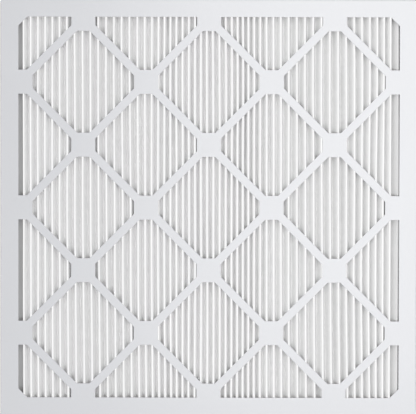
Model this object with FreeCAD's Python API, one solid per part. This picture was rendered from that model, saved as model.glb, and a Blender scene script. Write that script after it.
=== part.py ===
# Pleated panel air filter, modelled in millimetres.
# The filter lies on its back. Z is up through its thickness, X runs across the pleats
# and Y along them. The origin is the centre of the back, on the surface that it lies on.

import FreeCAD, Part
import math
import os

from FreeCAD import Vector

# Outside of the filter
WIDTH = 495.3
LENGTH = 495.3
DEPTH = 19.05

# Board of the two folded trays
BOARD = 0.7
FOLD_RADIUS = 0.6
CORNER_CUT = 0.8
TAB_BEND_INSIDE = 0.2
TAB_LENGTH = 14.0
TAB_TAPER = 3.0
TAB_EDGE = 0.5
TAB_ROOT = 1.5
FLANGE_SETBACK = 0.3
FLANGE_TAPER = 0.7

# Diamond windows, die-cut in both faces
BORDER = 20.6
BORDER_CHAMFER = 10.5
DIAMONDS_ACROSS = 3
DIAMONDS_ALONG = 3
ROW_INSET = 2.5
STRAP_WIDTH = 9.6
STUB_WIDTH = 28.6
BLUNT_RADIUS = 1.5

# Room between the nested trays, and between the trays and what they hold
NEST_CLEARANCE = 0.15
RIM_CLEARANCE = 0.3
PACK_CLEARANCE = 0.1
GLUE_CLEARANCE = 0.1

# Beads of glue round the pleated pack
END_BEAD = 1.2
SIDE_BEAD = 1.15
BEAD_RADIUS = 0.4

# Folded media: creased sharp inside each fold, and round outside in this many flats
MEDIA = 1.1
FOLD_FLATS = 6
PLEATS = 58

# How the pleats crowd and spread from left to right: at this share of all the pleats,
# each takes this many times the mean pitch
PLEAT_SPREAD = (
    (0.00, 1.05),
    (0.10, 1.01),
    (0.18, 1.13),
    (0.28, 1.13),
    (0.33, 0.95),
    (0.38, 0.86),
    (0.52, 0.90),
    (0.60, 0.76),
    (0.66, 0.93),
    (0.72, 1.16),
    (0.80, 1.19),
    (0.88, 1.07),
    (1.00, 0.86),
)

# Inner tray: its sides clear the outer tray's corner tabs, its ends clear the flanges
REAR_WIDTH = WIDTH - 2 * (2 * BOARD + NEST_CLEARANCE)
REAR_LENGTH = LENGTH - 2 * (BOARD + NEST_CLEARANCE)
REAR_DEPTH = DEPTH - BOARD - RIM_CLEARANCE

# Room inside the inner tray, and the pleated pack in it
ROOM_WIDTH = REAR_WIDTH - 2 * BOARD
ROOM_LENGTH = REAR_LENGTH - 2 * BOARD
PACK_WIDTH = ROOM_WIDTH - 2 * (SIDE_BEAD + 2 * GLUE_CLEARANCE)
PACK_LENGTH = ROOM_LENGTH - 2 * (END_BEAD + 2 * GLUE_CLEARANCE)
PACK_BOTTOM = BOARD + PACK_CLEARANCE
PACK_TOP = DEPTH - BOARD - PACK_CLEARANCE
BEAD_BOTTOM = BOARD + GLUE_CLEARANCE
BEAD_HEIGHT = DEPTH - 2 * BEAD_BOTTOM

# Openings between the borders of the faces
OPENING_WIDTH = WIDTH - 2 * BORDER
OPENING_LENGTH = LENGTH - 2 * BORDER


def face_of(points):
    """A flat face inside straight edges through the points."""
    return Part.Face(Part.makePolygon(points + points[:1]))


def window_face(points):
    """A flat face whose blunt corners are rounded, and whose square ones are crisp."""
    edges = []
    last = None
    for k, corner in enumerate(points):
        back = (points[k - 1] - corner).normalize()
        ahead = (points[(k + 1) % len(points)] - corner).normalize()
        half_angle = back.getAngle(ahead) / 2
        radius = BLUNT_RADIUS if half_angle > math.radians(50) else 0
        reach = radius / math.tan(half_angle)
        start = corner + back * reach
        end = corner + ahead * reach
        if last is None:
            first = start
        else:
            edges.append(Part.LineSegment(last, start).toShape())
        if radius:
            crown = corner + (back + ahead).normalize() * (radius / math.sin(half_angle) - radius)
            edges.append(Part.Arc(start, crown, end).toShape())
        last = end
    edges.append(Part.LineSegment(last, first).toShape())
    return Part.Face(Part.Wire(edges))


def opening_outline():
    """The inside of the border, its four corners cut off."""
    x = OPENING_WIDTH / 2
    y = OPENING_LENGTH / 2
    c = BORDER_CHAMFER
    corners = [(x, y - c), (x - c, y), (c - x, y), (-x, y - c)]
    corners += [(-x, c - y), (c - x, -y), (x - c, -y), (x, c - y)]
    return [Vector(px, py, 0) for px, py in corners]


def diamond_outline(pitch_x, pitch_y):
    """A diamond whose sides leave half a strap each, its four tips cut flat by the stubs."""
    half_x = pitch_x / 2
    half_y = pitch_y / 2
    inset = 1 - STRAP_WIDTH / 2 * math.hypot(1 / half_x, 1 / half_y)
    tip_x = half_x - STUB_WIDTH / 2
    tip_y = half_y - STUB_WIDTH / 2
    flat_y = half_y * (inset - tip_x / half_x)
    flat_x = half_x * (inset - tip_y / half_y)
    corners = [(tip_x, flat_y), (flat_x, tip_y), (-flat_x, tip_y), (-tip_x, flat_y)]
    corners += [(-tip_x, -flat_y), (-flat_x, -tip_y), (flat_x, -tip_y), (tip_x, -flat_y)]
    return [Vector(px, py, 0) for px, py in corners]


def lattice_windows():
    """Faces of all the windows: whole diamonds inside, halves and quarters at the border."""
    pitch_x = (OPENING_WIDTH - 2 * ROW_INSET) / DIAMONDS_ACROSS
    pitch_y = (OPENING_LENGTH - 2 * ROW_INSET) / DIAMONDS_ALONG
    opening = face_of(opening_outline())
    windows = []
    for i in range(2 * DIAMONDS_ACROSS + 1):
        for j in range(i % 2, 2 * DIAMONDS_ALONG + 1, 2):
            site = Vector((i - DIAMONDS_ACROSS) * pitch_x / 2, (j - DIAMONDS_ALONG) * pitch_y / 2, 0)
            diamond = face_of([site + p for p in diamond_outline(pitch_x, pitch_y)])
            clipped = diamond.common(opening).Faces[0]
            corners = [v.Point for v in clipped.OuterWire.OrderedVertexes]
            windows.append(window_face(corners))
    return windows


def face_panel(width, length, height):
    """The flat face of a tray with its windows, its rim rounded over by the folds."""
    panel = Part.makeBox(width, length, BOARD, Vector(-width / 2, -length / 2, height - BOARD))
    upright = [e for e in panel.Edges if abs(e.tangentAt(e.FirstParameter).z) > 0.5]
    panel = panel.makeChamfer(CORNER_CUT, upright)
    rim = [e for e in panel.Edges if e.BoundBox.ZMin > height - BOARD / 2]
    panel = panel.makeFillet(min(FOLD_RADIUS, 0.9 * BOARD), rim)
    cutters = []
    for window in lattice_windows():
        window.translate(Vector(0, 0, height - 2 * BOARD))
        cutters.append(window.extrude(Vector(0, 0, 3 * BOARD)))
    return panel.cut(cutters)


def side_flange(width, length, height):
    """The right flange: full length, its ends set back and tapered to the raw edge."""
    top = height - BOARD
    fold_end = length / 2 - FLANGE_SETBACK
    raw_end = fold_end - FLANGE_TAPER
    x = width / 2 - BOARD
    corners = [(-raw_end, 0), (raw_end, 0), (fold_end, top), (-fold_end, top)]
    outline = face_of([Vector(x, y, z) for y, z in corners])
    return outline.extrude(Vector(BOARD, 0, 0))


def flange_strip(reach, outer_y, tab_y):
    """Plan view of the right half of an end flange, from its middle to the end of its tab."""
    bend = BOARD + TAB_BEND_INSIDE
    inside_x = reach - BOARD
    inside_y = outer_y - BOARD
    centre = Vector(reach - bend, outer_y - bend, 0)
    diagonal = Vector(1, 1, 0).normalize()
    outer_crown = centre + diagonal * bend
    inner_crown = centre + diagonal * TAB_BEND_INSIDE
    outer_bend = Part.Arc(Vector(centre.x, outer_y, 0), outer_crown, Vector(reach, centre.y, 0))
    inner_bend = Part.Arc(Vector(inside_x, centre.y, 0), inner_crown, Vector(centre.x, inside_y, 0))
    runs = [
        (Vector(0, outer_y, 0), Vector(centre.x, outer_y, 0)),
        (Vector(reach, centre.y, 0), Vector(reach, tab_y, 0)),
        (Vector(reach, tab_y, 0), Vector(inside_x, tab_y, 0)),
        (Vector(inside_x, tab_y, 0), Vector(inside_x, centre.y, 0)),
        (Vector(centre.x, inside_y, 0), Vector(0, inside_y, 0)),
        (Vector(0, inside_y, 0), Vector(0, outer_y, 0)),
    ]
    edges = [Part.LineSegment(start, end).toShape() for start, end in runs]
    edges += [outer_bend.toShape(), inner_bend.toShape()]
    return Part.Face(Part.Wire(Part.sortEdges(edges)[0]))


def end_flange(width, length, height):
    """The far flange with a tab at each end, bent inwards behind the side flanges."""
    top = height - BOARD
    outer_y = length / 2
    tab_y = outer_y - TAB_LENGTH
    root_y = outer_y - BOARD - TAB_BEND_INSIDE - TAB_ROOT
    right = flange_strip(width / 2 - BOARD, outer_y, tab_y).extrude(Vector(0, 0, top))
    left = right.mirror(Vector(0, 0, 0), Vector(1, 0, 0))
    side_view = [(outer_y, 0), (outer_y, top), (root_y, top), (root_y, top - TAB_EDGE)]
    side_view += [(tab_y, top - TAB_EDGE - TAB_TAPER), (tab_y, TAB_EDGE + TAB_TAPER)]
    side_view += [(root_y, TAB_EDGE), (root_y, 0)]
    blank = face_of([Vector(-width / 2, y, z) for y, z in side_view])
    return right.fuse(left).removeSplitter().common(blank.extrude(Vector(width, 0, 0)))


def folded_tray(width, length, height):
    """A tray folded from one board, its face on top and its raw edges at z 0."""
    side = side_flange(width, length, height)
    end = end_flange(width, length, height)
    flanges = [side, side.mirror(Vector(0, 0, 0), Vector(1, 0, 0))]
    flanges += [end, end.mirror(Vector(0, 0, 0), Vector(0, 1, 0))]
    return face_panel(width, length, height).fuse(flanges).removeSplitter()


def front_frame():
    """The outer tray, its windows towards the front."""
    return folded_tray(WIDTH, LENGTH, DEPTH)


def rear_frame():
    """The inner tray, turned over and nested in the outer one, its raw edges forward."""
    tray = folded_tray(REAR_WIDTH, REAR_LENGTH, REAR_DEPTH)
    tray.rotate(Vector(0, 0, 0), Vector(1, 0, 0), 180)
    tray.translate(Vector(0, 0, REAR_DEPTH))
    return tray


def pitch_factor(share):
    """The pleat pitch as a multiple of the mean, at a share of the way across the pleats."""
    for (start, low), (end, high) in zip(PLEAT_SPREAD, PLEAT_SPREAD[1:]):
        if share <= end:
            return low + (high - low) * (share - start) / (end - start)
    return PLEAT_SPREAD[-1][1]


def fold_centres():
    """The creases in the XZ plane, valleys and ridges in turn, from left to right."""
    low = PACK_BOTTOM + MEDIA
    high = PACK_TOP - MEDIA
    run = PACK_WIDTH - 2 * MEDIA
    factors = [pitch_factor((k + 0.5) / PLEATS) for k in range(PLEATS)]
    x = -run / 2
    centres = [(Vector(x, 0, low), -1)]
    for factor in factors:
        pitch = run * factor / sum(factors)
        centres.append((Vector(x + pitch / 2, 0, high), 1))
        centres.append((Vector(x + pitch, 0, low), -1))
        x += pitch
    return centres


def flank_normals(centres):
    """Unit vectors square to each flank, on the side of the fold that it leaves."""
    normals = []
    for (start, kind), (end, _) in zip(centres, centres[1:]):
        step = end - start
        along = Vector(step).normalize()
        across = Vector(-along.z, 0, along.x)
        lean = MEDIA / step.Length
        normals.append(along * lean + across * (kind * math.sqrt(1 - lean * lean)))
    return normals


def round_fold(centre, arriving, leaving):
    """Points round the outside of a fold, from one flank's direction to the next."""
    turn = arriving.getAngle(leaving)
    points = []
    for k in range(FOLD_FLATS + 1):
        share = k / FOLD_FLATS
        ahead = arriving * math.sin((1 - share) * turn) + leaving * math.sin(share * turn)
        points.append(centre + ahead * (MEDIA / math.sin(turn)))
    return points


def pleated_media():
    """One sheet folded into pleats, its two ends standing upright against the side beads."""
    centres = fold_centres()
    normals = flank_normals(centres)
    arrivals = [Vector(-1, 0, 0)] + [normal * -1 for normal in normals]
    departures = normals + [Vector(1, 0, 0)]
    left = -PACK_WIDTH / 2
    top = PACK_TOP - MEDIA
    upper = [Vector(left, 0, top), Vector(left + MEDIA, 0, top)]
    lower = []
    for (centre, kind), arriving, leaving in zip(centres, arrivals, departures):
        outside = round_fold(centre, arriving, leaving)
        upper += outside if kind == 1 else [centre]
        lower += [centre] if kind == 1 else outside
    upper += [Vector(-left - MEDIA, 0, top), Vector(-left, 0, top)]
    sheet = face_of(upper + lower[::-1]).extrude(Vector(0, PACK_LENGTH, 0))
    sheet.translate(Vector(0, -PACK_LENGTH / 2, 0))
    return sheet


def glue_bead_top():
    """The bead that the far ends of the pleats stand in, its long inner edges rounded."""
    reach = ROOM_WIDTH / 2 - BOARD - TAB_BEND_INSIDE
    inner = ROOM_LENGTH / 2 - GLUE_CLEARANCE - END_BEAD
    bead = Part.makeBox(2 * reach, END_BEAD, BEAD_HEIGHT, Vector(-reach, inner, BEAD_BOTTOM))
    long_edges = [e for e in bead.Edges if e.BoundBox.XLength > reach]
    inside = [e for e in long_edges if e.BoundBox.YMax < inner + END_BEAD / 2]
    return bead.makeFillet(min(BEAD_RADIUS, END_BEAD / 2), inside)


def glue_bead_right():
    """The bead between the last pleat and the side wall, thinner where it covers the tabs."""
    outer = ROOM_WIDTH / 2 - GLUE_CLEARANCE
    inner = outer - SIDE_BEAD
    shelf = outer - BOARD
    end = PACK_LENGTH / 2
    tab_end = REAR_LENGTH / 2 - TAB_LENGTH - GLUE_CLEARANCE
    plan = [(inner, -end), (shelf, -end), (shelf, -tab_end), (outer, -tab_end)]
    plan += [(outer, tab_end), (shelf, tab_end), (shelf, end), (inner, end)]
    outline = face_of([Vector(x, y, BEAD_BOTTOM) for x, y in plan])
    return outline.extrude(Vector(0, 0, BEAD_HEIGHT))


def write_parts():
    """Build every piece and write each to its own file."""
    far_bead = glue_bead_top()
    side_bead = glue_bead_right()
    pieces = {
        "front_frame": front_frame(),
        "rear_frame": rear_frame(),
        "pleated_media": pleated_media(),
        "glue_bead_top": far_bead,
        "glue_bead_bottom": far_bead.mirror(Vector(0, 0, 0), Vector(0, 1, 0)),
        "glue_bead_right": side_bead,
        "glue_bead_left": side_bead.mirror(Vector(0, 0, 0), Vector(1, 0, 0)),
    }
    os.makedirs("parts", exist_ok=True)
    for name, shape in pieces.items():
        if not shape.isValid() or len(shape.Solids) != 1:
            raise ValueError(name + " is not one valid solid")
        shape.Solids[0].exportStep("parts/" + name + ".step")
        print(name, round(shape.Volume), "mm3")


write_parts()
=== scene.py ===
"""Looks of a pleated panel air filter: folded white board trays round a sheet of pleated media."""

import math

import bpy
from bpy.props import FloatProperty, FloatVectorProperty, IntProperty, PointerProperty
from mathutils import Matrix, Vector, noise


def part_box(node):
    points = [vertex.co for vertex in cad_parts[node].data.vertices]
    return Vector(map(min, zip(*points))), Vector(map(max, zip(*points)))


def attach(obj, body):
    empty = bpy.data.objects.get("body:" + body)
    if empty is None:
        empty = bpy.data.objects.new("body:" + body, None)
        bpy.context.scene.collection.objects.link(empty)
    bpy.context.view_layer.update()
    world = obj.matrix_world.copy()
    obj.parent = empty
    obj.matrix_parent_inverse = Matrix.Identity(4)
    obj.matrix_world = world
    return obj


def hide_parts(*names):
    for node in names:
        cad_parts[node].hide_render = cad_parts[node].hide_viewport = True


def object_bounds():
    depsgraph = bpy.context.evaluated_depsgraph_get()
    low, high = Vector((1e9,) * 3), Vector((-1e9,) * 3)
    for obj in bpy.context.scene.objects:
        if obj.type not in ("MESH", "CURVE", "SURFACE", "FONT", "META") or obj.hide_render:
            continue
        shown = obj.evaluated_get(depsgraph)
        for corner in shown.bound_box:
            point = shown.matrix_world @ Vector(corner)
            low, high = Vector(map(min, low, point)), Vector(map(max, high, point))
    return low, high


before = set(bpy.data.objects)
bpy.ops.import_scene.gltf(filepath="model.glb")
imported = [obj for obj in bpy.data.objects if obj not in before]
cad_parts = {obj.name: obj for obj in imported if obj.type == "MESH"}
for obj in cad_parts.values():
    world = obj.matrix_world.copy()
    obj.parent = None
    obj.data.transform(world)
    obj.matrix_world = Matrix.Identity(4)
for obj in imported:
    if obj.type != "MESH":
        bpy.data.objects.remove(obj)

bl_info = {
    "name": "Pleated panel air filter",
    "version": (1, 0, 0),
    "blender": (4, 5, 0),
    "location": "View3D > Sidebar > Filter",
    "description": "Models the board trays, the pleated media and the stage of a panel air filter",
    "category": "Object",
}

CAD_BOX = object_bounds()
LOW, HIGH = Vector(CAD_BOX[0]), Vector(CAD_BOX[1])
PACK_LOW, PACK_HIGH = (Vector(corner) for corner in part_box("pleated_media"))
MM = 0.001

# The part's own sizes that the frame does not give
BOARD = 0.7 * MM
BORDER = 20.6 * MM

# How the pleats crowd and spread from left to right: at this share of all the pleats,
# each takes this many times the mean pitch
PLEAT_SPREAD = (
    (0.00, 1.05),
    (0.10, 1.01),
    (0.18, 1.13),
    (0.28, 1.13),
    (0.33, 0.95),
    (0.38, 0.86),
    (0.52, 0.90),
    (0.60, 0.76),
    (0.66, 0.93),
    (0.72, 1.16),
    (0.80, 1.19),
    (0.88, 1.07),
    (1.00, 0.86),
)

# How far the folds drift to the right at the lower end of the pleats, in millimetres, at
# this share of the way across
FOLD_DRIFT = (
    (0.00, 0.0),
    (0.10, 1.4),
    (0.20, 3.0),
    (0.35, 2.6),
    (0.50, 0.2),
    (0.65, 1.0),
    (0.81, 4.0),
    (0.93, 0.0),
    (1.00, 0.0),
)

# The drift grows as this power of the share of the way down
DRIFT_POWER = 1.6

# The picture's size in pixels, and where in it the middle of the filter lies
IMAGE_WIDTH = 416
IMAGE_HEIGHT = 414
CENTRE_X_PX = 208.8
CENTRE_Y_PX = 207.75

# Where the two softboxes stand, how wide and deep they are, and how wide the floor is, in metres
OVERHEAD_PLACE = (-1.2, -0.9, 5.0)
OVERHEAD_SIZE = (3.2, 0.9)
RIGHT_PLACE = (0.62, 0.3, 2.5)
RIGHT_SIZE = (1.6, 2.0)
FLOOR_SIZE = 12

# The camera's sensor in millimetres, and how far it sees in metres
SENSOR_MM = 36
VIEW_DEPTH = 20

# How often light is passed on from one white flank to the next before it is dropped
DIFFUSE_BOUNCES = 12


class BoardSettings(bpy.types.PropertyGroup):
    coating: FloatVectorProperty(
        name="Coating", description="Colour of the coated face of the board",
        subtype="COLOR", size=3, min=0, max=1, default=(0.62, 0.6275, 0.652))
    core: FloatVectorProperty(
        name="Core", description="Colour of the raw fibres at a die-cut edge",
        subtype="COLOR", size=3, min=0, max=1, default=(0.80, 0.79, 0.765))
    roughness: FloatProperty(
        name="Roughness", description="Roughness of the clay coating",
        subtype="FACTOR", min=0, max=1, default=0.26)
    edge_round: FloatProperty(
        name="Edge round", description="Width that the die presses each cut edge over",
        unit="LENGTH", min=0, max=BOARD / 2, default=0.12 * MM)


class MediaSettings(bpy.types.PropertyGroup):
    # Whiter along the ridges, partly for the pressed fibres and partly as a painted highlight on the
    # crowns
    colour: FloatVectorProperty(
        name="Colour",
        description="Colour along the ridges, where the polyester fibres are pressed close",
        subtype="COLOR", size=3, min=0, max=1, default=(0.985, 0.985, 0.985))
    # Darker on the flanks, partly a painted shade in the grooves between the ridges
    flank: FloatProperty(
        name="Flanks",
        description="Brightness of the flat sheet as a share of the brightness of the ridges",
        subtype="FACTOR", min=0, max=1, default=0.85)
    # Painted shade in the valley creases
    valley: FloatProperty(
        name="Valleys",
        description="Brightness of the valley folds as a share of the brightness of the flanks",
        subtype="FACTOR", min=0, max=1, default=0.97)
    # Painted shade that darkens the pleats where they stand wide, evening their brightness with the
    # narrow ones
    painted_wide_pleat_shade: FloatProperty(
        name="Painted wide pleat shade",
        description="Share of the brightness lost where the pleats are drawn to twice their pitch",
        subtype="FACTOR", min=0, max=1, default=0.24)
    thickness: FloatProperty(
        name="Thickness", description="Thickness of the sheet",
        unit="LENGTH", min=0.2 * MM, max=1.5 * MM, default=0.7 * MM)
    fold_radius: FloatProperty(
        name="Fold radius", description="Half the width of the rounded outside of each fold",
        unit="LENGTH", min=0.5 * MM, max=2 * MM, default=1.2 * MM)
    squash: FloatProperty(
        name="Squash", description="Height of a pressed fold as a share of its round height",
        subtype="FACTOR", min=0.2, max=1, default=0.38)
    pleats: IntProperty(
        name="Pleats", description="Number of pleats from side to side",
        min=2, max=200, default=58)
    wander: FloatProperty(
        name="Wander", description="How far a fold strays to the side along its length",
        unit="LENGTH", min=0, max=4 * MM, default=1.3 * MM)
    lean: FloatProperty(
        name="Lean",
        description="How far the valleys at the far right sit to the left of the middle between ridges",
        unit="LENGTH", min=0, max=4 * MM, default=2.6 * MM)
    slack: FloatProperty(
        name="Slack", description="How far the crown of a fold sinks below its neighbours",
        unit="LENGTH", min=0, max=2 * MM, default=0.3 * MM)
    bulge: FloatProperty(
        name="Bulge", description="How far a flank bows between its two folds",
        unit="LENGTH", min=0, max=2 * MM, default=0.3 * MM)
    rows: IntProperty(
        name="Rows", description="Rows of faces along each pleat",
        min=4, max=100, default=48)


class GlueSettings(bpy.types.PropertyGroup):
    colour: FloatVectorProperty(
        name="Colour", description="Colour of the set hot-melt glue",
        subtype="COLOR", size=3, min=0, max=1, default=(0.78, 0.74, 0.62))


class StageSettings(bpy.types.PropertyGroup):
    distance: FloatProperty(
        name="Distance", description="From the camera to the face of the filter",
        unit="LENGTH", min=0.5, max=10, default=2.5)
    view_width: FloatProperty(
        name="View width", description="Width that the picture takes in at the face of the filter",
        unit="LENGTH", min=0.1, max=5, default=0.49604)
    tilt: FloatProperty(
        name="Tilt", description="How far the camera leans towards the top of the picture",
        subtype="ANGLE", default=math.radians(1.45))
    roll: FloatProperty(
        name="Roll", description="Turn of the camera about its own line of sight",
        subtype="ANGLE", default=math.radians(0.13))
    floor_colour: FloatVectorProperty(
        name="Floor", description="Colour of the surface that the filter lies on",
        subtype="COLOR", size=3, min=0, max=1, default=(0.88, 0.88, 0.88))
    overhead_power: FloatProperty(
        name="Overhead light",
        description="Power in watts of the softbox that shines down into the pleats",
        min=0, max=500, default=118)
    right_power: FloatProperty(
        name="Right light",
        description="Power in watts of the softbox on the right, which the board mirrors",
        min=0, max=500, default=32)
    sky: FloatProperty(
        name="Sky", description="Strength of the even light from all round",
        min=0, max=2, default=0.28)


def deselect_all():
    """Nothing selected, so that an operator acts only on what is added next."""
    bpy.ops.object.select_all(action="DESELECT")


def make_active(piece):
    """The piece alone selected and active."""
    deselect_all()
    piece.select_set(True)
    bpy.context.view_layer.objects.active = piece


def new_material(name):
    """An empty node material with its shader."""
    material = bpy.data.materials.new(name)
    material.use_nodes = True
    return material, material.node_tree.nodes["Principled BSDF"]


def add_node(material, kind, **inputs):
    """A shader node with values set on its sockets."""
    made = material.node_tree.nodes.new(kind)
    for socket, value in inputs.items():
        made.inputs[socket.replace("_", " ")].default_value = value
    return made


def link(material, output, socket):
    """Joins an output to a socket."""
    material.node_tree.links.new(output, socket)


def noise_node(material, coordinates, scale, detail=2.0, stretch=(1, 1, 1)):
    """Noise on real lengths: scale is in lumps a metre, stretch squeezes it along an axis."""
    mapping = add_node(material, "ShaderNodeMapping", Scale=stretch)
    link(material, coordinates, mapping.inputs["Vector"])
    made = add_node(material, "ShaderNodeTexNoise", Scale=scale, Detail=detail)
    link(material, mapping.outputs["Vector"], made.inputs["Vector"])
    return made.outputs["Fac"]


def ranged(material, value, low, high):
    """The middle of a noise spread over a range."""
    made = add_node(material, "ShaderNodeMapRange", From_Min=0.3, From_Max=0.7, To_Min=low, To_Max=high)
    link(material, value, made.inputs["Value"])
    return made.outputs["Result"]


# The colour sockets of a mix node, whose names it shares with its number sockets
MIX_A, MIX_B, MIX_RESULT = 6, 7, 2


def tinted(material, colour, factors):
    """A colour multiplied by each of the factors."""
    brightness = None
    for factor in factors:
        if brightness is None:
            brightness = factor
            continue
        product = add_node(material, "ShaderNodeMath")
        product.operation = "MULTIPLY"
        link(material, brightness, product.inputs[0])
        link(material, factor, product.inputs[1])
        brightness = product.outputs[0]
    mix = add_node(material, "ShaderNodeMix")
    mix.data_type = "RGBA"
    mix.blend_type = "MULTIPLY"
    mix.inputs["Factor"].default_value = 1
    mix.inputs[MIX_A].default_value = (*colour, 1)
    link(material, brightness, mix.inputs[MIX_B])
    return mix.outputs[MIX_RESULT]


def bumped(material, shader, heights):
    """Bumps in turn on the shader's normal, each a (height, distance in metres, strength)."""
    normal = None
    for height, distance, strength in heights:
        bump = add_node(material, "ShaderNodeBump", Distance=distance, Strength=strength)
        link(material, height, bump.inputs["Height"])
        if normal:
            link(material, normal, bump.inputs["Normal"])
        normal = bump.outputs["Normal"]
    link(material, normal, shader.inputs["Normal"])


def coated_board(settings):
    """White clay-coated board: faintly mottled, hardly waved, with a soft sheen."""
    material, shader = new_material("coated_board")
    place = add_node(material, "ShaderNodeTexCoord").outputs["Object"]
    clouds = noise_node(material, place, 28, 3)
    fibres = noise_node(material, place, 900, 4, (1, 0.35, 1))
    waves = noise_node(material, place, 14, 1)
    factors = [ranged(material, clouds, 0.996, 1.004), ranged(material, fibres, 0.99, 1.01)]
    link(material, tinted(material, settings.coating, factors), shader.inputs["Base Color"])
    roughness = ranged(material, clouds, settings.roughness - 0.01, settings.roughness + 0.01)
    link(material, roughness, shader.inputs["Roughness"])
    shader.inputs["Specular IOR Level"].default_value = 1.0
    bumped(material, shader, [(waves, 0.1 * MM, 0.5), (fibres, 0.03 * MM, 0.5)])
    return material


def raw_board_edge(settings):
    """The open fibres of the board where the die has cut it."""
    material, shader = new_material("raw_board_edge")
    place = add_node(material, "ShaderNodeTexCoord").outputs["Object"]
    plies = noise_node(material, place, 600, 3, (1, 1, 8))
    specks = noise_node(material, place, 3000, 2)
    factors = [ranged(material, plies, 0.9, 1.03), ranged(material, specks, 0.94, 1.04)]
    link(material, tinted(material, settings.core, factors), shader.inputs["Base Color"])
    shader.inputs["Roughness"].default_value = 0.9
    shader.inputs["Specular IOR Level"].default_value = 0.2
    bumped(material, shader, [(plies, 0.06 * MM, 0.7), (specks, 0.04 * MM, 0.6)])
    return material


def polyester_media(settings):
    """White nonwoven: matt, cloudy where the fibres lie thin, and whitest along the ridges, partly for
    the pressed fibres and partly as a painted highlight; painted shade darkens the valleys, the wide
    pleats and the folds at the side borders.
    """
    material, shader = new_material("polyester_media")
    place = add_node(material, "ShaderNodeUVMap").outputs["UV"]
    clouds = noise_node(material, place, 90, 3)
    strands = noise_node(material, place, 1600, 3, (1, 0.3, 1))
    crossing = noise_node(material, place, 1500, 3, (0.3, 1, 1))
    factors = [ranged(material, clouds, 0.985, 1.01)]
    factors += [ranged(material, strands, 0.985, 1.01), ranged(material, crossing, 0.985, 1.01)]
    whiteness_and_painted_shade = add_node(material, "ShaderNodeAttribute")
    whiteness_and_painted_shade.attribute_name = "whiteness_and_painted_shade"
    factors.append(whiteness_and_painted_shade.outputs["Fac"])
    link(material, tinted(material, settings.colour, factors), shader.inputs["Base Color"])
    shader.inputs["Roughness"].default_value = 0.95
    shader.inputs["Specular IOR Level"].default_value = 0.15
    shader.inputs["Sheen Weight"].default_value = 0.15
    shader.inputs["Sheen Roughness"].default_value = 0.6
    heights = [(clouds, 0.15 * MM, 0.5), (strands, 0.05 * MM, 0.5), (crossing, 0.05 * MM, 0.5)]
    bumped(material, shader, heights)
    return material


def hot_melt(settings):
    """Set glue: a waxy yellowish white with a lumpy skin."""
    material, shader = new_material("hot_melt")
    place = add_node(material, "ShaderNodeTexCoord").outputs["Object"]
    lumps = noise_node(material, place, 160, 2)
    skin = noise_node(material, place, 900, 2)
    factors = [ranged(material, lumps, 0.93, 1.04)]
    link(material, tinted(material, settings.colour, factors), shader.inputs["Base Color"])
    link(material, ranged(material, skin, 0.28, 0.42), shader.inputs["Roughness"])
    shader.inputs["Subsurface Weight"].default_value = 0.15
    shader.inputs["Subsurface Scale"].default_value = 1 * MM
    bumped(material, shader, [(lumps, 0.4 * MM, 0.7), (skin, 0.05 * MM, 0.4)])
    return material


# Corners this close are one, and the angles up to which faces are one flat face, from which
# an edge is pressed over, and up to which a shape is shaded smooth
MERGE_REACH = 0.002 * MM
FLAT_ANGLE = math.radians(0.5)
CUT_EDGE_ANGLE = math.radians(50)
TRAY_SMOOTH_ANGLE = math.radians(40)
SHEET_SMOOTH_ANGLE = math.radians(50)

# A face whose normal stands up by less than this share is a wall, and a flat face that lies
# this close to the height of the raw edges is one of them
WALL_SHARE = 0.3
RAW_REACH = 0.1 * MM


def merged_copy(node, name):
    """A copy of a tray with its triangles joined up, active and alone in the selection."""
    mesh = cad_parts[node].data.copy()
    mesh.materials.clear()
    piece = bpy.data.objects.new(name, mesh)
    bpy.context.scene.collection.objects.link(piece)
    make_active(piece)
    bpy.ops.object.mode_set(mode="EDIT")
    bpy.ops.mesh.select_all(action="SELECT")
    bpy.ops.mesh.remove_doubles(threshold=MERGE_REACH)
    bpy.ops.mesh.dissolve_limited(angle_limit=FLAT_ANGLE)
    bpy.ops.object.mode_set(mode="OBJECT")
    return piece


def is_cut(face, raw_z):
    """Whether a face of a tray is where the die cut the board: a window's wall or a raw edge."""
    x, y, z = face.center
    in_window = abs(x) < HIGH.x - BORDER + BOARD and abs(y) < HIGH.y - BORDER + BOARD
    if abs(face.normal.z) < WALL_SHARE:
        return in_window
    return abs(z - raw_z) < RAW_REACH and not in_window


def finish_tray(piece, raw_z, board, edge, edge_round):
    """The raw edges get their own finish, and every cut edge is pressed over."""
    piece.data.materials.append(board)
    piece.data.materials.append(edge)
    for face in piece.data.polygons:
        face.material_index = 1 if is_cut(face, raw_z) else 0
    bevel = piece.modifiers.new("edge_round", "BEVEL")
    bevel.width = edge_round
    bevel.segments = 2
    bevel.limit_method = "ANGLE"
    bevel.angle_limit = CUT_EDGE_ANGLE
    bpy.ops.object.modifier_apply(modifier=bevel.name)
    bpy.ops.object.shade_smooth_by_angle(angle=TRAY_SMOOTH_ANGLE)
    weighted = piece.modifiers.new("flat_faces", "WEIGHTED_NORMAL")
    weighted.keep_sharp = True
    bpy.ops.object.modifier_apply(modifier=weighted.name)


def between(table, share):
    """The value of a table at a share of the way across the pleats."""
    for (start, low), (end, high) in zip(table, table[1:]):
        if share <= end:
            return low + (high - low) * (share - start) / (end - start)
    return table[-1][1]


def fold_line(settings):
    """Places of the folds across the filter: (x, kind), kind -1 in a valley and 1 on a ridge."""
    run = PACK_HIGH.x - PACK_LOW.x - 2 * settings.fold_radius
    factors = [between(PLEAT_SPREAD, (k + 0.5) / settings.pleats) for k in range(settings.pleats)]
    x = PACK_LOW.x + settings.fold_radius
    folds = [(x, -1)]
    for factor in factors:
        pitch = run * factor / sum(factors)
        folds += [(x + pitch / 2, 1), (x + pitch, -1)]
        x += pitch
    return folds


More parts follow.
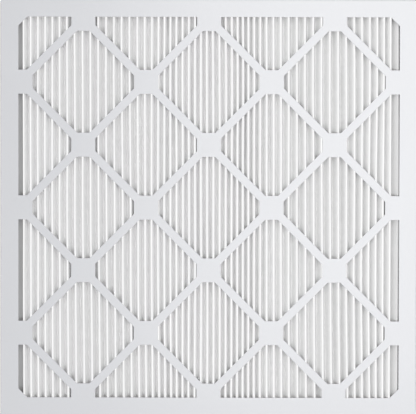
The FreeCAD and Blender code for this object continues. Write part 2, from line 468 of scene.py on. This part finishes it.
# Folds that the glue along the two side borders holds out of the regular row, by their number
# from the left: how far each is pulled to the right, how far its crown is sunk, and how bright
# it is as a share of the flanks, which is a painted shadow of the side borders on them
HELD_AND_SHADED_FOLDS = {
    1: (0, 12 * MM, 0.85),
    2: (-1.5 * MM, 0, 0.85),
    3: (-3 * MM, 12 * MM, 0.85),
    4: (2.3 * MM, 0, 0.85),
    110: (-1 * MM, 0, 0.94),
    111: (1.3 * MM, 4 * MM, 0.94),
}

# The slow and quick noises that move a fold: waves from one fold to the next, waves a metre
# along the fold, and the layer of noise that each is read from
SWAY = (0.11, 4.6, 3.1)
JITTER = (0.83, 9.0, 11.7)
SINK = (0.61, 9.0, 41.3)
BOW = (0.47, 9.0, 57.1)

# The noise that moves a whole fold at once
STILL_WAVES = 0.71
STILL_LAYER = (0.37, 23.9)

# How much of a fold's wander is slow, quick, and the same all along the fold
SWAY_SHARE = 0.95
JITTER_SHARE = 0.1
STILL_SHARE = 0.1

# How far from the side borders a fold moves freely
FREE_RUN = 18 * MM


def fold_noise(kind, fold, y):
    """Noise of one kind for a fold, at a place along it."""
    per_fold, per_metre, layer = kind
    return noise.noise(Vector((fold * per_fold, y * per_metre, layer)))


def fold_centres(settings, folds, y):
    """Centres of the folds at one place along the pleats, each straying a little on its own.

    Heights are divided by the squash, so that round folds come out pressed when scaled back.
    """
    radius = settings.fold_radius - settings.thickness / 2
    down = ((PACK_HIGH.y - y) / (PACK_HIGH.y - PACK_LOW.y)) ** DRIFT_POWER
    centres = []
    for k, (x, kind) in enumerate(folds):
        loose = min(1, (x - PACK_LOW.x - settings.fold_radius) / FREE_RUN)
        loose = min(loose, (PACK_HIGH.x - settings.fold_radius - x) / FREE_RUN)
        sway = SWAY_SHARE * fold_noise(SWAY, k, y)
        jitter = JITTER_SHARE * fold_noise(JITTER, k, y)
        still = STILL_SHARE * noise.noise(Vector((k * STILL_WAVES, *STILL_LAYER)))
        stray = settings.wander * (sway + jitter + still) * loose
        stray += between(FOLD_DRIFT, k / len(folds)) * MM * down
        if kind == -1:
            stray -= settings.lean * max(0, x / PACK_HIGH.x) * loose
        sink = settings.slack * loose * (0.5 + fold_noise(SINK, k, y))
        pulled, sunk, _ = HELD_AND_SHADED_FOLDS.get(k, (0, 0, 1))
        sink = max(0, min(settings.slack, sink)) + sunk + settings.thickness / 2
        if kind == 1:
            z = (PACK_HIGH.z - sink) / settings.squash - radius
        else:
            z = (PACK_LOW.z + sink) / settings.squash + radius
        centres.append((Vector((x + pulled + stray, 0, z)), kind))
    return centres


# Faces round each fold
ARC_STEPS = 4


def sheet_profile(settings, centres, y):
    """Points along the middle of the sheet at one place along the pleats, from left to right."""
    radius = settings.fold_radius - settings.thickness / 2
    normals = []
    for (start, kind), (end, _) in zip(centres, centres[1:]):
        along = (end - start).normalized()
        across = Vector((-along.z, 0, along.x))
        slope = 2 * radius / (end - start).length
        normals.append(along * slope + across * (kind * math.sqrt(1 - slope * slope)))
    arrivals = [Vector((-1, 0, 0))] + [-normal for normal in normals]
    departures = normals + [Vector((1, 0, 0))]
    leg_top = (PACK_HIGH.z - settings.fold_radius) / settings.squash
    points = [Vector((centres[0][0].x - radius, 0, leg_top))]
    for k, ((centre, _), arriving, leaving) in enumerate(zip(centres, arrivals, departures)):
        turn = arriving.angle(leaving)
        first = centre + arriving * radius
        bow = settings.bulge * fold_noise(BOW, k, y)
        middle = (points[-1] + first) / 2
        if 0 < k:
            middle += Vector((bow, 0, 0))
        points.append(middle)
        for step in range(ARC_STEPS + 1):
            share = step / ARC_STEPS
            ahead = arriving * math.sin((1 - share) * turn) + leaving * math.sin(share * turn)
            points.append(centre + ahead * (radius / math.sin(turn)))
    last = Vector((centres[-1][0].x + radius, 0, leg_top))
    points += [(points[-1] + last) / 2, last]
    return [Vector((point.x, 0, point.z * settings.squash)) for point in points]


def profile_length(points):
    """Length of a line through the points."""
    return sum((b - a).length for a, b in zip(points, points[1:]))


def folded_sheet(settings, name):
    """A flat sheet of its real size, folded row by row. Returns it with its flat size."""
    folds = fold_line(settings)
    y_low, y_high = PACK_LOW.y, PACK_HIGH.y
    length = y_high - y_low
    straight = sheet_profile(settings, fold_centres(settings, folds, 0), 0)
    columns = len(straight) - 1
    width = profile_length(straight)
    deselect_all()
    bpy.ops.mesh.primitive_grid_add(x_subdivisions=columns, y_subdivisions=settings.rows, size=1)
    piece = bpy.context.object
    piece.name = name
    mesh = piece.data
    profiles = []
    for row in range(settings.rows + 1):
        y = y_low + length * row / settings.rows
        profiles.append(sheet_profile(settings, fold_centres(settings, folds, y), y))
    for loop_uv in mesh.uv_layers.active.data:
        u, v = loop_uv.uv
        loop_uv.uv = (u * width, v * length)
    # Brightness at each point of the sheet: the ridges whitest, partly a painted highlight, and painted
    # shade on flanks, valleys, wide pleats and border folds
    whiteness_and_painted_shade = mesh.attributes.new("whiteness_and_painted_shade", "FLOAT", "POINT")
    for vertex in mesh.vertices:
        column = round((vertex.co.x + 0.5) * columns)
        row = round((vertex.co.y + 0.5) * settings.rows)
        place = profiles[row][column]
        vertex.co = (place.x, y_low + length * row / settings.rows, place.z)
        fold, step = divmod(column - 1, ARC_STEPS + 2)
        spread = between(PLEAT_SPREAD, fold / len(folds))
        # Flanks darker than the ridges, partly painted shade, and darker still in painted shade where
        # the pleats stand wide
        flank = settings.flank * (1 - settings.painted_wide_pleat_shade * max(0, spread - 1))
        shade = flank
        # Painted shadow of the side borders on the folds beside them
        if fold in HELD_AND_SHADED_FOLDS:
            _, _, share = HELD_AND_SHADED_FOLDS[fold]
            shade = flank * share
        elif 0 < step < ARC_STEPS:
            # The ridges whitest, partly a painted highlight, and the valley creases in painted shade
            shade = 1 if fold % 2 else flank * settings.valley
        whiteness_and_painted_shade.data[vertex.index].value = shade
    solidify = piece.modifiers.new("thickness", "SOLIDIFY")
    solidify.thickness = settings.thickness
    solidify.offset = 0
    make_active(piece)
    bpy.ops.object.modifier_apply(modifier=solidify.name)
    bpy.ops.object.shade_smooth_by_angle(angle=SHEET_SMOOTH_ANGLE)
    return piece, (width, length)


class FILTER_OT_board_trays(bpy.types.Operator):
    """Models the two folded board trays over their solids"""

    bl_idname = "filter_part.board_trays"
    bl_label = "Board trays"

    def execute(self, context):
        settings = context.scene.filter_board
        board = coated_board(settings)
        edge = raw_board_edge(settings)
        for node, raw_z in (("front_frame", LOW.z), ("rear_frame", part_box("rear_frame")[1][2])):
            piece = merged_copy(node, node.replace("frame", "tray"))
            finish_tray(piece, raw_z, board, edge, settings.edge_round)
            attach(piece, "root")
            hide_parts(node)
        return {"FINISHED"}


class FILTER_OT_pleated_media(bpy.types.Operator):
    """Folds the sheet of media into its pleats"""

    bl_idname = "filter_part.pleated_media"
    bl_label = "Pleated media"

    def execute(self, context):
        settings = context.scene.filter_media
        piece, flat = folded_sheet(settings, "media_sheet")
        piece.data.materials.append(polyester_media(settings))
        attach(piece, "root")
        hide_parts("pleated_media")
        return {"FINISHED"}


class FILTER_OT_glue_beads(bpy.types.Operator):
    """Gives the four beads of glue their finish"""

    bl_idname = "filter_part.glue_beads"
    bl_label = "Glue beads"

    def execute(self, context):
        glue = hot_melt(context.scene.filter_glue)
        for side in ("top", "bottom", "left", "right"):
            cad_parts["glue_bead_" + side].material_slots[0].material = glue
        return {"FINISHED"}


def floor_material(settings):
    """A plain matt floor."""
    material, shader = new_material("pale_floor")
    shader.inputs["Base Color"].default_value = (*settings.floor_colour, 1)
    shader.inputs["Roughness"].default_value = 0.9
    return material


def add_area_light(name, place, size, power):
    """A soft light at a place, its width along the filter's, turned to face the filter."""
    deselect_all()
    bpy.ops.object.light_add(type="AREA", location=place)
    lamp = bpy.context.object
    lamp.name = name
    lamp.data.shape = "RECTANGLE"
    lamp.data.size, lamp.data.size_y = size
    lamp.data.energy = power
    back = Vector(place).normalized()
    right = Vector((0, 1, 0)).cross(back).normalized()
    lamp.rotation_euler = Matrix((right, back.cross(right), back)).transposed().to_euler()
    return lamp


def place_camera(settings):
    """Looks down on the face, from a little towards its top."""
    metres_per_px = settings.view_width / IMAGE_WIDTH
    aim_x = (IMAGE_WIDTH / 2 - CENTRE_X_PX) * metres_per_px
    aim_y = (CENTRE_Y_PX - IMAGE_HEIGHT / 2) * metres_per_px
    turn = Matrix.Rotation(-settings.tilt, 4, "X") @ Matrix.Rotation(settings.roll, 4, "Z")
    place = Vector((aim_x, aim_y, HIGH.z)) + turn @ Vector((0, 0, settings.distance))
    deselect_all()
    bpy.ops.object.camera_add()
    camera = bpy.context.object
    camera.matrix_world = Matrix.Translation(place) @ turn
    camera.data.sensor_width = SENSOR_MM
    camera.data.lens = SENSOR_MM * settings.distance / settings.view_width
    camera.data.clip_end = VIEW_DEPTH
    bpy.context.scene.camera = camera


class FILTER_OT_stage(bpy.types.Operator):
    """Adds the floor, the soft lights and the camera"""

    bl_idname = "filter_part.stage"
    bl_label = "Stage"

    def execute(self, context):
        settings = context.scene.filter_stage
        deselect_all()
        bpy.ops.mesh.primitive_plane_add(size=FLOOR_SIZE, location=(0, 0, LOW.z))
        floor = context.object
        floor.name = "floor"
        floor.data.materials.append(floor_material(settings))
        power = settings.overhead_power
        overhead = add_area_light("overhead_light", OVERHEAD_PLACE, OVERHEAD_SIZE, power)
        overhead.visible_glossy = False
        add_area_light("right_light", RIGHT_PLACE, RIGHT_SIZE, settings.right_power)
        world = bpy.data.worlds.new("studio")
        world.use_nodes = True
        world.node_tree.nodes["Background"].inputs["Color"].default_value = (1, 1, 1, 1)
        world.node_tree.nodes["Background"].inputs["Strength"].default_value = settings.sky
        context.scene.world = world
        context.scene.view_settings.view_transform = "Standard"
        context.scene.cycles.diffuse_bounces = DIFFUSE_BOUNCES
        place_camera(settings)
        return {"FINISHED"}


class FILTER_PT_panel(bpy.types.Panel):
    """Lists the filter's sizes, colours and steps"""

    bl_label = "Pleated panel air filter"
    bl_idname = "FILTER_PT_panel"
    bl_space_type = "VIEW_3D"
    bl_region_type = "UI"
    bl_category = "Filter"

    def draw(self, context):
        for settings_name, operator in STEPS:
            box = self.layout.box()
            settings = getattr(context.scene, settings_name)
            for key in settings.__annotations__:
                box.prop(settings, key)
            box.operator(operator)


STEPS = (
    ("filter_board", "filter_part.board_trays"),
    ("filter_media", "filter_part.pleated_media"),
    ("filter_glue", "filter_part.glue_beads"),
    ("filter_stage", "filter_part.stage"),
)

SETTINGS = {
    "filter_board": BoardSettings,
    "filter_media": MediaSettings,
    "filter_glue": GlueSettings,
    "filter_stage": StageSettings,
}

CLASSES = (
    *SETTINGS.values(),
    FILTER_OT_board_trays,
    FILTER_OT_pleated_media,
    FILTER_OT_glue_beads,
    FILTER_OT_stage,
    FILTER_PT_panel,
)


def register():
    for cls in CLASSES:
        bpy.utils.register_class(cls)
    for name, group in SETTINGS.items():
        setattr(bpy.types.Scene, name, PointerProperty(type=group))


def unregister():
    for name in SETTINGS:
        delattr(bpy.types.Scene, name)
    for cls in reversed(CLASSES):
        bpy.utils.unregister_class(cls)


def main():
    register()
    bpy.ops.filter_part.board_trays()
    bpy.ops.filter_part.pleated_media()
    bpy.ops.filter_part.glue_beads()
    bpy.ops.filter_part.stage()


if __name__ == "__main__":
    main()
